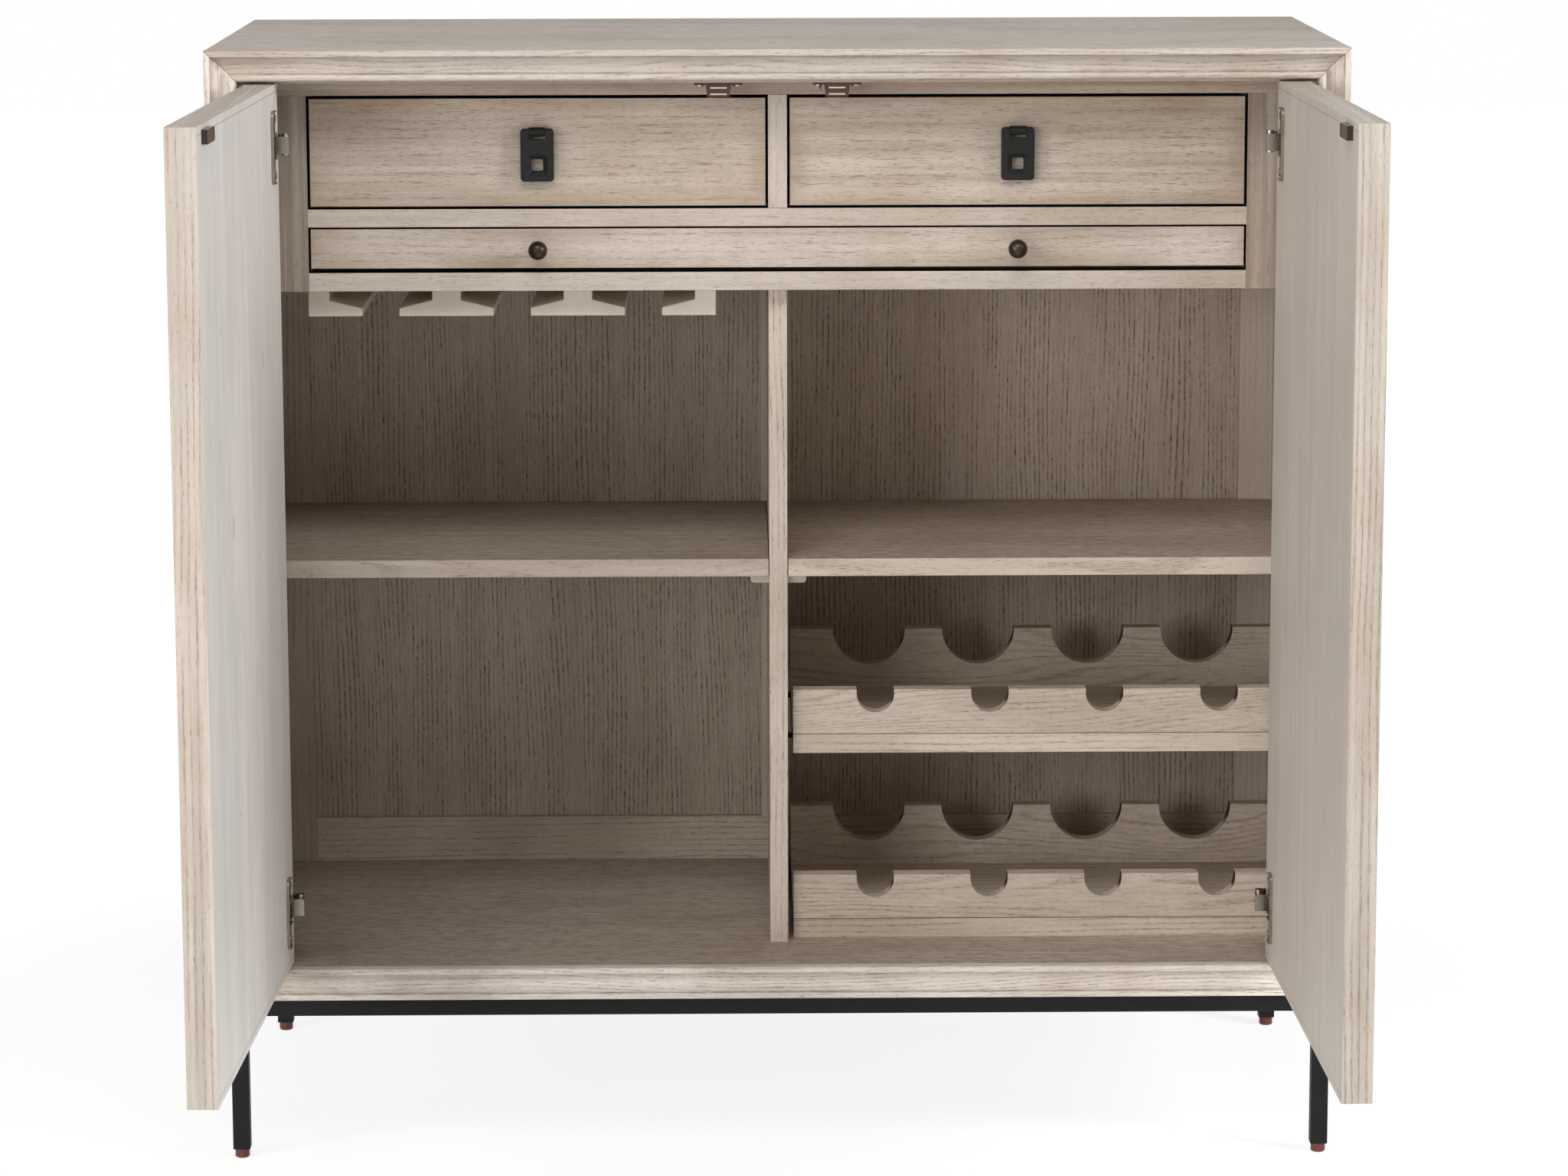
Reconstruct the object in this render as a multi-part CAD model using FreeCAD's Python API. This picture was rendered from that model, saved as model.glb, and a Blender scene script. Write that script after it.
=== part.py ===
import FreeCAD, Part

import math
import os

Vector = FreeCAD.Vector

# Bar cabinet with two doors, two drawers, a pull-out tray, a stemware rack and two wine racks.
# Millimetres. X runs to the viewer's right, Y to the back, Z up.
# Pieces are built with the front of the case at Y 0 and the floor at Z 0,
# and are moved in Y at the end so that the origin is the centre of the ground they cover.

# Whole cabinet
width = 1168.0
height = 1168.0
depth = 528.0
board = 19.0

# Steel base
tube = 18.0
tube_wall = 1.5
tube_round = 1.5
base_set_back = 5.0
leg_height = 163.0
glide_height = 10.0
glide_radius = 7.7
glide_bevel = 1.2
plug_height = 14.0

# Mitred front moulding
moulding_width = 32.0
moulding_depth = 20.0
strip_width = 6.6
cove_edge = 1.2
cove_depth = 12.0
bead_width = 7.6
bead_set_back = 6.0
bead_inner_set_back = 10.0
outer_round = 1.0
cove_run_share = 0.28
cove_drop_share = 0.72

# Face frame round the drawers and the tray
face_set_back = 94.0
face_thickness = 20.0
stile_width = 76.0
mullion_width = 20.0
top_rail_drop = 34.0
drawer_opening = 118.0
middle_rail_height = 19.0
tray_opening = 47.5
lower_rail_height = 19.5
rail_edge_round = 0.8

# Back
back_inset = 11.0
back_thickness = 19.0
back_stile_width = 37.5
back_centre_width = 32.0
back_bottom_show = 50.0
back_top_height = 58.0
back_panel_thickness = 6.0
back_panel_set_back = 9.0
groove_depth = 6.0

# Boards inside the case
catch_rail_height = 18.0
deck_thickness = 12.0

# Shelves and the strips under them
rack_headroom = 108.5
shelf_clearance = 1.0
cleat_width = 20.0
cleat_height = 8.5
cleat_set_back = 10.0
cleat_round = 4.0

# Stemware rack
stem_rail_height = 30.0
stem_web = 30.0
stem_end_web = 22.0
stem_lip = 34.7
stem_slot = 38.7
stem_tip = 8.5
stem_root = 17.0
stem_inset = 55.5
stem_set_back = 12.0
stem_rear_clearance = 16.0

# Wine racks
rack_clearance = 6.0
rack_set_back = 19.0
rack_board = 20.0
rack_rear_clearance = 58.0
rack_floor_to_floor = 203.0
rack_rail = 19.5
front_rail_height = 49.0
rear_rail_height = 67.0
rear_rail_inset = 34.5
bottle_pitch = 122.6
neck_radius = 20.0
neck_depth = 25.0
body_radius = 40.4
rack_pin_radius = 3.0
rack_pin_bite = 8.0
rack_pin_inset = 45.0

# Doors
door_thickness = 30.0
door_set_back = 10.0
door_side_gap = 2.5
door_top_gap = 3.0
door_bottom_gap = 2.0
lipping = 8.0
door_edge_round = 1.0
left_rest_angle = 92.3
right_rest_angle = 91.2

# Door hinges
hinge_inset = 62.5
pin_inset = 18.0
pin_from_face = 9.5
pin_radius = 2.25
running_clearance = 0.05
knuckle_radius = 4.2
knuckle_height = 22.5
arm_height = 17.5
arm_thickness = 6.0
arm_clearance = 2.3
arm_sweep = 145.0
tail_thickness = 6.4
tail_lap = 0.46
tail_end_lap = 1.94
rivet_radius = 4.6
rivet_angle = 25.0
arm_plate = 3.0
arm_plate_start = 8.0
arm_plate_rear_gap = 14.5
arm_plate_height = 44.0
cup_behind_pin = 9.5
cup_end_clearance = 1.0
cup_front = 6.1
cup_wall = 1.3
cup_axial_clearance = 0.3
leaf_thickness = 3.2
leaf_base = 1.2
leaf_rim = 2.0
leaf_start = 12.0
leaf_beyond_cup = 3.0
leaf_height = 75.0
leaf_round = 8.0
leaf_screw_from_edge = 10.0
leaf_screw_from_end = 8.5

# Screws
screw_radius = 2.0
screw_length = 14.0
screw_head_radius = 4.0
screw_head_height = 1.8
screw_slot = 0.9
arm_screw_shares = (0.42, 0.8)

# Magnetic catches and their strikes
catch_from_centre = 61.0
catch_gap = 0.7
catch_plate_width = 50.0
catch_plate_depth = 24.0
catch_plate_thickness = 2.4
catch_body_width = 26.2
catch_body_low_width = 23.0
catch_body_depth = 22.0
catch_body_height = 12.4
catch_tab_gap = 3.0
catch_tab_width = 4.5
catch_tab_height = 7.5
catch_tab_thickness = 2.0
pole_width = 17.0
pole_thickness = 1.5
pole_length = 20.0
pole_proud = 0.4
pole_spacing = 6.5
catch_screw_spacing = 38.0
strike_from_edge = 32.0
strike_width = 46.0
strike_height = 13.5
strike_thickness = 5.8
strike_drop = 4.8
strike_round = 4.0
strike_plate_width = 31.0
strike_plate_thickness = 1.2
strike_plate_border = 0.6

# Drawers
drawer_gap = 2.5
drawer_top_gap = 3.0
drawer_front_thickness = 19.0
drawer_front_round = 1.2
slide_space = 12.7
drawer_side = 12.0
drawer_box_headroom = 19.5
drawer_box_lift = 8.0
drawer_rear_clearance = 15.0
drawer_bottom = 6.0
drawer_bottom_lift = 10.0
drawer_groove = 5.0

# Slides
slide_height = 45.0
tray_slide_margin = 2.0
slide_wall = 1.5
slide_lip = 9.0
slide_runner_width = 8.4
slide_clearance = 0.3
slide_set_back = 6.0

# Tray
tray_gap = 2.0
tray_top_gap = 1.7
tray_bottom_gap = 4.3
tray_box_margin = 7.5
tray_board = 12.0
tray_side = 10.0
tray_rear_clearance = 25.0

# Knobs
knob_radius = 10.0
knob_projection = 21.0
knob_neck_radius = 4.0
knob_base_radius = 6.5
knob_base_height = 2.0

# Flap pulls
flap_width = 34.5
flap_height = 55.0
flap_thickness = 6.0
flap_window = 12.0
flap_recess = 21.0
flap_recess_depth = 3.6
flap_recess_round = 2.2
flap_window_rise = 17.2
flap_round = 4.0
flap_edge_round = 1.5
flap_top_margin = 3.4
flap_notch_depth = 11.1
pull_drop = 34.2
pull_projection = 8.6
pull_pin_radius = 1.5
lug_width = 16.6
lug_radius = 4.8
lug_side_clearance = 0.3
lug_post_height = 7.0

# Planes and spans worked out from the sizes above
overrun = 1.0
case_bottom = glide_height + leg_height
frame_height = height - case_bottom
opening_half = width / 2 - moulding_width
opening_bottom = case_bottom + moulding_width
opening_top = height - moulding_width
side_inner = width / 2 - board
top_under = height - board
back_front = depth - back_inset - back_thickness
back_rear = back_front + back_thickness
face_rear = face_set_back + face_thickness
stile_inner = side_inner - stile_width
top_rail_bottom = top_under - top_rail_drop
middle_rail_top = top_rail_bottom - drawer_opening
middle_rail_bottom = middle_rail_top - middle_rail_height
lower_rail_top = middle_rail_bottom - tray_opening
lower_rail_bottom = lower_rail_top - lower_rail_height
door_width = (2 * opening_half - 3 * door_side_gap) / 2
door_bottom = opening_bottom + door_bottom_gap
door_top = opening_top - door_top_gap
door_rear = door_set_back + door_thickness
pin_x = opening_half - pin_inset
pin_y = door_set_back + pin_from_face
pin_to_inner_face = door_thickness - pin_from_face
pin_to_edge = pin_inset - door_side_gap
pin_to_free_edge = door_width - pin_to_edge
hinge_heights = (door_bottom + hinge_inset, door_top - hinge_inset)
arm_swing = math.hypot(pin_to_edge, pin_to_inner_face) + arm_clearance
arm_plate_length = face_set_back - arm_plate_rear_gap - arm_plate_start - pin_y
cup_half_height = knuckle_height / 2 + cup_axial_clearance + cup_wall
cup_ahead_of_pin = arm_swing + arm_thickness + cup_end_clearance
leaf_end = cup_ahead_of_pin + leaf_beyond_cup
catch_front = door_rear + strike_thickness + catch_gap
catch_top = top_under - catch_rail_height
rack_front = face_rear + rack_set_back
rack_rear = back_front - rack_rear_clearance
rear_rail_front = rack_rear - rear_rail_inset - rack_rail
rack_top = opening_bottom + rack_floor_to_floor + rack_board + rear_rail_height
shelf_bottom = rack_top + rack_headroom
shelf_top = shelf_bottom + board
stem_front = face_rear + stem_set_back
stem_rear = back_front - stem_rear_clearance
box_front = face_set_back + drawer_front_thickness
drawer_rear = back_front - drawer_rear_clearance
drawer_box_height = drawer_opening - drawer_gap - drawer_box_lift - drawer_box_headroom
tray_rear = back_front - tray_rear_clearance
tray_front_height = tray_opening - tray_top_gap - tray_bottom_gap
tray_box_height = tray_front_height - tray_box_margin
tray_slide_height = tray_box_height - tray_slide_margin
slide_front = face_rear + slide_set_back
slide_rear = back_front - slide_set_back
pull_x = (stile_inner + mullion_width / 2) / 2


def front_reach(angle):
    """How far in front of the case a door reaches when it stands open by this angle."""
    turn = math.radians(angle)
    corners = (-pin_from_face, pin_to_inner_face)
    return max(pin_to_free_edge * math.sin(turn) - y * math.cos(turn) for y in corners) - pin_y


origin_y = (depth - max(front_reach(left_rest_angle), front_reach(right_rest_angle))) / 2


def box(x0, x1, y0, y1, z0, z1):
    """A box between the given planes."""
    return Part.makeBox(x1 - x0, y1 - y0, z1 - z0, Vector(x0, y0, z0))


def rod(radius, length, base, direction):
    """A cylinder that starts at base."""
    return Part.makeCylinder(radius, length, Vector(*base), Vector(*direction))


def prism(points, move):
    """A solid swept from a closed outline of straight edges."""
    corners = [Vector(*p) for p in points]
    return Part.Face(Part.makePolygon(corners + corners[:1])).extrude(Vector(*move))


def mirrored(shape):
    """The same piece on the other side of the cabinet's middle plane."""
    return shape.mirror(Vector(0, 0, 0), Vector(1, 0, 0))


def moved(shape, x, y, z):
    """A copy of a shape, shifted."""
    copy = shape.copy()
    copy.translate(Vector(x, y, z))
    return copy


def rounded(shape, radius, pick):
    """Rounds the straight edges that pick accepts."""
    edges = [e for e in shape.Edges if pick(e)]
    return shape.makeFillet(radius, edges)


def runs_along(edge, axis):
    """True if a straight edge lies along this axis."""
    if not isinstance(edge.Curve, Part.Line):
        return False
    direction = edge.Vertexes[1].Point - edge.Vertexes[0].Point
    return abs(abs(direction.dot(Vector(*axis))) - direction.Length) < Part.Precision.confusion()


def lies_on(edge, y):
    """True if an edge lies in the plane across Y at this place."""
    return all(abs(v.Y - y) < Part.Precision.confusion() for v in edge.Vertexes)


def save(node, *solids):
    """Writes a node's solids, moved to the cabinet's own frame."""
    group = Part.makeCompound([moved(s, 0, -origin_y, 0) for s in solids])
    group.exportStep(os.path.join("parts", node + ".step"))


def screw(x, y, z, direction):
    """A wood screw with a slotted pan head, whose head's underside is at this point."""
    axis = Vector(*direction)
    base = Vector(x, y, z)
    head = Part.makeCylinder(screw_head_radius, screw_head_height, base, -axis)
    shank = Part.makeCylinder(screw_radius, screw_length, base, axis)
    across = Vector(0, 0, 1) if abs(axis.z) < abs(axis.x) + abs(axis.y) else Vector(1, 0, 0)
    side = axis.cross(across)
    start = base - axis * screw_head_height - across * screw_head_radius - side * screw_slot / 2
    corners = (start, start + across * 2 * screw_head_radius)
    corners += (corners[1] + side * screw_slot, start + side * screw_slot)
    slot = prism(corners, axis * screw_slot)
    return head.fuse(shank).cut(slot).removeSplitter()


def moulding_outline():
    """The moulding's section: distance in from its outer edge, and distance back from its front."""
    inner = moulding_width - bead_width
    run = inner - strip_width
    drop = cove_depth - cove_edge
    low = (strip_width, cove_edge)
    dip = (strip_width + run * cove_run_share, cove_edge + drop * cove_drop_share)
    end = (inner, cove_depth)
    crown = (moulding_width - bead_width / 2, bead_set_back)
    shoulder = (moulding_width, bead_inner_set_back)
    lines = [
        ((moulding_width, moulding_depth), (0, moulding_depth)),
        ((0, moulding_depth), (0, outer_round)),
        ((0, outer_round), (outer_round, 0)),
        ((outer_round, 0), (strip_width, 0)),
        ((strip_width, 0), low),
    ]
    return lines, (low, dip, end), (end, crown, shoulder), (shoulder, lines[0][0])


def moulding_bar(length, place):
    """A straight bar of moulding; place turns a point of the section into space."""
    lines, cove, bead, last = moulding_outline()
    edges = [Part.makeLine(place(*a), place(*b)) for a, b in lines]
    edges.append(Part.Arc(*[place(*p) for p in cove]).toShape())
    edges.append(Part.Arc(*[place(*p) for p in bead]).toShape())
    edges.append(Part.makeLine(place(*last[0]), place(*last[1])))
    return Part.Face(Part.Wire(edges)).extrude(length)


def make_mouldings():
    half, inner = width / 2, opening_half
    low, high = case_bottom, height
    inner_low, inner_high = opening_bottom, opening_top
    back = (0, moulding_depth, 0)
    across = Vector(width, 0, 0)
    upward = Vector(0, 0, frame_height)

    top = moulding_bar(across, lambda w, v: Vector(-half, v, high - w))
    mask = ((-half, 0, high), (half, 0, high), (inner, 0, inner_high), (-inner, 0, inner_high))
    save("frame_top_moulding", top.common(prism(mask, back)))

    bottom = moulding_bar(across, lambda w, v: Vector(-half, v, low + w))
    mask = ((-half, 0, low), (half, 0, low), (inner, 0, inner_low), (-inner, 0, inner_low))
    save("frame_bottom_moulding", bottom.common(prism(mask, back)))

    left = moulding_bar(upward, lambda w, v: Vector(-half + w, v, low))
    mask = ((-half, 0, low), (-half, 0, high), (-inner, 0, inner_high), (-inner, 0, inner_low))
    left = left.common(prism(mask, back))
    save("frame_left_moulding", left)
    save("frame_right_moulding", mirrored(left))


def make_case():
    case_front = moulding_depth
    save("top_panel", box(-width / 2, width / 2, case_front, depth, top_under, height))

    side = box(-width / 2, -side_inner, case_front, depth, case_bottom, top_under)
    pilots = [screw_pilot(s) for s in arm_screws()]
    level = rack_pin_height()
    out = (-1, 0, 0)
    pins = [rod(rack_pin_radius, rack_pin_bite, (-side_inner, y, level), out) for y in rack_pin_rows()]
    save("left_side_panel", side.cut(Part.makeCompound(pilots)))
    save("right_side_panel", mirrored(side.cut(Part.makeCompound(pilots + pins))))

    low = opening_bottom - board
    save("floor_panel", box(-side_inner, side_inner, case_front, back_front, low, opening_bottom))

    partition = box(-board / 2, board / 2, face_rear, back_front, opening_bottom, lower_rail_bottom)
    holes = [rod(rack_pin_radius, rack_pin_bite, (board / 2, y, level), out) for y in rack_pin_rows()]
    save("partition", partition.cut(Part.makeCompound(holes)))

    rail = box(-side_inner, side_inner, catch_front, face_set_back, catch_top, top_under)
    pilots = [screw_pilot(s) for s in catch_screws()]
    save("catch_rail", rail.cut(Part.makeCompound(pilots)))


def make_face_frame():
    front, rear = face_set_back, face_rear
    save("face_top_rail", box(-side_inner, side_inner, front, rear, top_rail_bottom, top_under))
    left = box(-side_inner, -stile_inner, front, rear, lower_rail_bottom, top_rail_bottom)
    save("face_stiles", left, mirrored(left))
    half = mullion_width / 2
    save("face_mullion", box(-half, half, front, rear, middle_rail_top, top_rail_bottom))

    def rail(low, high):
        shape = box(-stile_inner, stile_inner, front, rear, low, high)
        return rounded(shape, rail_edge_round, lambda e: runs_along(e, (1, 0, 0)) and lies_on(e, front))

    save("face_middle_rail", rail(middle_rail_bottom, middle_rail_top))
    save("face_lower_rail", rail(lower_rail_bottom, lower_rail_top))


def make_decks():
    low = lower_rail_bottom
    save("tray_deck", box(-side_inner, side_inner, face_rear, back_front, low, lower_rail_top))
    low = middle_rail_top - deck_thickness
    save("drawer_deck", box(-stile_inner, stile_inner, face_rear, back_front, low, middle_rail_top))
    left = box(-stile_inner - board, -stile_inner, face_rear, back_front, lower_rail_top, top_under)
    half = mullion_width / 2
    centre = box(-half, half, face_rear, back_front, middle_rail_top, top_under)
    save("drawer_divider_boards", left, centre, mirrored(left))


def make_back():
    left = (-side_inner, -side_inner + back_stile_width)
    half = back_centre_width / 2
    bottom_top = opening_bottom + back_bottom_show
    top_bottom = top_under - back_top_height
    panel_front = back_front + back_panel_set_back
    panel_rear = panel_front + back_panel_thickness

    panel = box(
        left[1] - groove_depth, -half + groove_depth, panel_front, panel_rear,
        bottom_top - groove_depth, top_bottom + groove_depth,
    )
    save("back_panels", panel, mirrored(panel))

    stile = box(*left, back_front, back_rear, case_bottom, top_under)
    centre = box(-half, half, back_front, back_rear, bottom_top, top_bottom)
    low = box(left[1], -left[1], back_front, back_rear, case_bottom, bottom_top)
    high = box(left[1], -left[1], back_front, back_rear, top_bottom, top_under)
    grooves = Part.makeCompound([panel, mirrored(panel)])
    members = [m.cut(grooves) for m in (stile, mirrored(stile), centre, low, high)]
    save("back_frame", *members)


def make_shelves():
    low = shelf_bottom
    ends = (-side_inner + shelf_clearance, -board / 2 - shelf_clearance)
    left = box(*ends, face_rear, back_front - shelf_clearance, low, shelf_top)
    left = rounded(left, rail_edge_round, lambda e: runs_along(e, (1, 0, 0)) and lies_on(e, face_rear))
    save("shelves", left, mirrored(left))

    start = face_rear + cleat_set_back
    spans = ((-side_inner, -side_inner + cleat_width, 1), (-board / 2 - cleat_width, -board / 2, 0))
    cleats = []
    for x0, x1, free_end in spans:
        strip = box(x0, x1, start, back_front, low - cleat_height, low)
        free_x = (x0, x1)[free_end]

        def lower_free_edge(e, free_x=free_x):
            ends = e.Vertexes
            tight = Part.Precision.confusion()
            return runs_along(e, (0, 1, 0)) and all(
                abs(v.X - free_x) < tight and abs(v.Z - low + cleat_height) < tight for v in ends
            )

        strip = rounded(strip, cleat_round, lower_free_edge)
        cleats += [strip, mirrored(strip)]
    save("shelf_cleats", *cleats)


def stem_rail(web_left, web_right, left_lip, right_lip):
    """A hanging rail whose lips hold the feet of stemmed glasses."""
    top = lower_rail_bottom
    bottom = top - stem_rail_height
    points = [(web_left, top), (web_left, bottom + stem_root)]
    if left_lip:
        points += [(web_left - left_lip, bottom + stem_tip), (web_left - left_lip, bottom)]
    else:
        points += [(web_left, bottom)]
    if right_lip:
        points += [(web_right + right_lip, bottom), (web_right + right_lip, bottom + stem_tip)]
        points += [(web_right, bottom + stem_root)]
    else:
        points += [(web_right, bottom)]
    points += [(web_right, top)]
    return prism([(x, stem_front, z) for x, z in points], (0, stem_rear - stem_front, 0))


def stem_rail_spans():
    """The webs of the rails from the partition outward, each with its two lips."""
    end = -board / 2 - stem_inset
    pitch = stem_lip + stem_slot + stem_lip
    room = side_inner - stem_inset + end - 2 * stem_end_web - pitch
    spans = [(end - stem_end_web, end, stem_lip, 0)]
    right = end - stem_end_web - pitch
    for _ in range(int(room // (stem_web + pitch))):
        spans.append((right - stem_web, right, stem_lip, stem_lip))
        right -= stem_web + pitch
    spans.append((right - stem_end_web, right, 0, stem_lip))
    return spans


def make_stem_rack():
    save("stemware_rails", *[stem_rail(*span) for span in stem_rail_spans()])


def rack_ends():
    return board / 2 + rack_clearance, side_inner - rack_clearance


def rack_floors():
    """The undersides of the lower and the upper wine rack."""
    return opening_bottom, opening_bottom + rack_floor_to_floor


def rack_pin_height():
    return rack_floors()[1] + rack_board / 2


def rack_pin_rows():
    return rack_front + rack_pin_inset, rack_rear - rack_pin_inset


def bottle_places():
    """Where the bottles lie across a wine rack."""
    left, right = rack_ends()
    count = int((right - left) // bottle_pitch)
    first = (left + right) / 2 - bottle_pitch * (count - 1) / 2
    return [first + bottle_pitch * i for i in range(count)]


def make_wine_racks():
    left, right = rack_ends()
    front, rear = rack_front, rear_rail_front
    boards, front_rails, rear_rails = [], [], []
    for floor in rack_floors():
        top = floor + rack_board
        slab = box(left, right, front, rack_rear, floor, top)
        if floor != opening_bottom:
            bite = rack_clearance + rack_pin_bite
            level = rack_pin_height()
            for y in rack_pin_rows():
                slab = slab.cut(rod(rack_pin_radius, bite, (board / 2, y, level), (1, 0, 0)))
                slab = slab.cut(rod(rack_pin_radius, bite, (side_inner, y, level), (-1, 0, 0)))
        boards.append(slab)

        rail = box(left, right, front, front + rack_rail, top, top + front_rail_height)
        centre = top + front_rail_height - neck_depth + neck_radius
        for x in bottle_places():
            rail = rail.cut(rod(neck_radius, rack_rail, (x, front, centre), (0, 1, 0)))
            sides = (x - neck_radius, x + neck_radius)
            rail = rail.cut(box(*sides, front, front + rack_rail, centre, centre + neck_depth))
        front_rails.append(rail)

        rail = box(left, right, rear, rear + rack_rail, top, top + rear_rail_height)
        for x in bottle_places():
            rail = rail.cut(rod(body_radius, rack_rail, (x, rear, top + rear_rail_height), (0, 1, 0)))
        rear_rails.append(rail)
    save("rack_boards", *boards)
    save("rack_front_rails", *front_rails)
    save("rack_rear_rails", *rear_rails)


def hollow(x0, x1, y0, y1, z0, z1, axis):
    """A square tube between these planes, open at its ends."""
    wall = [tube_wall] * 3
    wall[axis] = 0
    inner = box(x0 + wall[0], x1 - wall[0], y0 + wall[1], y1 - wall[1], z0 + wall[2], z1 - wall[2])
    way = [0, 0, 0]
    way[axis] = 1
    outer = rounded(box(x0, x1, y0, y1, z0, z1), tube_round, lambda e: runs_along(e, way))
    return outer.cut(inner)


def leg_rows():
    """The front faces of the front and back legs."""
    return base_set_back, depth - base_set_back - tube


def make_base():
    outer = width / 2 - base_set_back
    inner = outer - tube
    rail_bottom = case_bottom - tube
    rows = leg_rows()
    pieces = []
    for y in rows:
        leg = hollow(-outer, -inner, y, y + tube, glide_height, case_bottom, 2)
        pieces += [leg, mirrored(leg)]
        pieces.append(hollow(-inner, inner, y, y + tube, rail_bottom, case_bottom, 0))
    side = hollow(-outer, -inner, rows[0] + tube, rows[1], rail_bottom, case_bottom, 1)
    pieces += [side, mirrored(side)]
    save("base_frame", *pieces)

    glides = []
    for y in rows:
        x = -outer + tube / 2
        disc = rod(glide_radius, glide_height, (x, y + tube / 2, 0), (0, 0, 1))
        disc = disc.makeChamfer(glide_bevel, [e for e in disc.Edges if e.BoundBox.ZMax < glide_bevel])
        reach = tube / 2 - tube_wall
        middle = y + tube / 2
        plug_top = glide_height + plug_height
        plug = box(x - reach, x + reach, middle - reach, middle + reach, glide_height, plug_top)
        glide = disc.fuse(plug)
        glides += [glide, mirrored(glide)]
    save("glides", *glides)


def hinge_arm():
    """The arm that the case carries, with its pin hole at the origin and the cabinet's middle at +X."""
    half = arm_height / 2
    outer = arm_swing + arm_thickness
    end = math.radians(arm_sweep)
    middle = end / 2
    arcs = []
    for radius in (arm_swing, outer):
        points = [Vector(radius * math.cos(a), radius * math.sin(a), -half) for a in (0, middle, end)]
        arcs.append((points, Part.Arc(*points).toShape()))
    first = Part.makeLine(arcs[0][0][2], arcs[1][0][2])
    last = Part.makeLine(arcs[1][0][0], arcs[0][0][0])
    outline = Part.Wire([arcs[0][1], first, arcs[1][1], last])
    wall = -pin_inset - (side_inner - opening_half)
    ring = Part.Face(outline).extrude(Vector(0, 0, arm_height))
    ring = ring.cut(box(wall - outer, wall, 0, outer, -half, half))
    run = box(0, outer, -arm_thickness / 2, arm_thickness / 2, -half, half)
    knuckle = rod(knuckle_radius, knuckle_height, (0, 0, -knuckle_height / 2), (0, 0, 1))
    angle = math.radians(rivet_angle)
    mid = arm_swing + arm_thickness / 2
    foot = (mid * math.cos(angle), mid * math.sin(angle), -knuckle_height / 2)
    rivet = rod(rivet_radius, knuckle_height, foot, (0, 0, 1))
    tail_x = arm_swing * math.cos(end) + tail_end_lap
    tail_y = arm_swing * math.sin(end) - tail_lap
    tail = box(wall, tail_x, tail_y, tail_y + tail_thickness, -half, half)
    tall = arm_plate_height / 2
    plate_rear = arm_plate_start + arm_plate_length
    plate = box(wall, wall + arm_plate, arm_plate_start, plate_rear, -tall, tall)
    arm = knuckle.fuse([run, ring, rivet, tail, plate]).removeSplitter()
    bore_radius = pin_radius + running_clearance
    arm = arm.cut(rod(bore_radius, knuckle_height, (0, 0, -knuckle_height / 2), (0, 0, 1)))
    for share in arm_screw_shares:
        y = arm_plate_start + arm_plate_length * share
        arm = arm.cut(rod(screw_radius, arm_plate, (wall, y, 0), (1, 0, 0)))
    return arm


def arm_screws():
    """The points and directions of the screws through the left hinge arms."""
    wall = -side_inner + arm_plate
    rows = [pin_y + arm_plate_start + arm_plate_length * share for share in arm_screw_shares]
    return [(wall, y, z, (-1, 0, 0)) for y in rows for z in hinge_heights]


def catch_screws():
    """The points and directions of the screws through both catch plates."""
    z = catch_top - catch_plate_thickness
    y = catch_front + catch_plate_depth / 2
    reach = catch_screw_spacing / 2
    places = [side * catch_from_centre + way * reach for side in (-1, 1) for way in (-1, 1)]
    return [(x, y, z, (0, 0, 1)) for x in places]


def screw_pilot(place):
    """The hole that a screw fills in the wood behind it."""
    x, y, z, direction = place
    return rod(screw_radius, screw_length, (x, y, z), direction)


def hinge_leaf():
    """The leaf and cup let into a closed door, with the pin at the origin."""
    inner = pin_to_inner_face
    outer = inner + leaf_thickness
    end = leaf_end
    top = leaf_height / 2
    plate = box(leaf_start, end, inner, outer, -top, top)
    plate = rounded(plate, leaf_round, lambda e: runs_along(e, (0, 1, 0)))
    floor = inner + leaf_base
    tray = box(leaf_start, end - leaf_rim, floor, outer, leaf_rim - top, top - leaf_rim)

    def far_corner(e):
        return runs_along(e, (0, 1, 0)) and e.Vertexes[0].X > leaf_start

    plate = plate.cut(rounded(tray, leaf_round - leaf_rim, far_corner))
    half = cup_half_height
    plate = plate.cut(box(leaf_start, cup_ahead_of_pin, inner, outer, -half, half))
    left = -cup_behind_pin
    cheek = box(left, cup_ahead_of_pin, -cup_front, outer, half - cup_wall, half)
    lower = moved(cheek, 0, 0, cup_wall - 2 * half)
    back = box(left, cup_ahead_of_pin, -cup_front, cup_wall - cup_front, -half, half)
    leaf = plate.fuse([cheek, lower, back]).removeSplitter()
    trim = box(left, leaf_start, inner, outer, -half, half)
    leaf = leaf.cut(trim).cut(rod(pin_radius, 2 * half, (0, 0, -half), (0, 0, 1)))
    for place in leaf_screws():
        leaf = leaf.cut(screw_pilot(place))
    return leaf


def leaf_screws():
    """The screws of a leaf, about its pin."""
    x = leaf_start + leaf_screw_from_edge
    z = leaf_height / 2 - leaf_screw_from_end
    return [(x, pin_to_inner_face + leaf_base, side * z, (0, -1, 0)) for side in (-1, 1)]


def at_hinges(shape):
    """Copies of a left hinge piece at both of the left door's hinges."""
    return [moved(shape, -pin_x, pin_y, z) for z in hinge_heights]


def make_hinge_arms():
    arms = at_hinges(hinge_arm())
    save("hinge_arms", *arms, *[mirrored(a) for a in arms])


def door_turn(shape, side, angle):
    """Turns a piece of a closed door about the door's pins, to its rest angle."""
    copy = shape.copy()
    copy.rotate(Vector(side * pin_x, pin_y, 0), Vector(0, 0, side), angle)
    return copy


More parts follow.
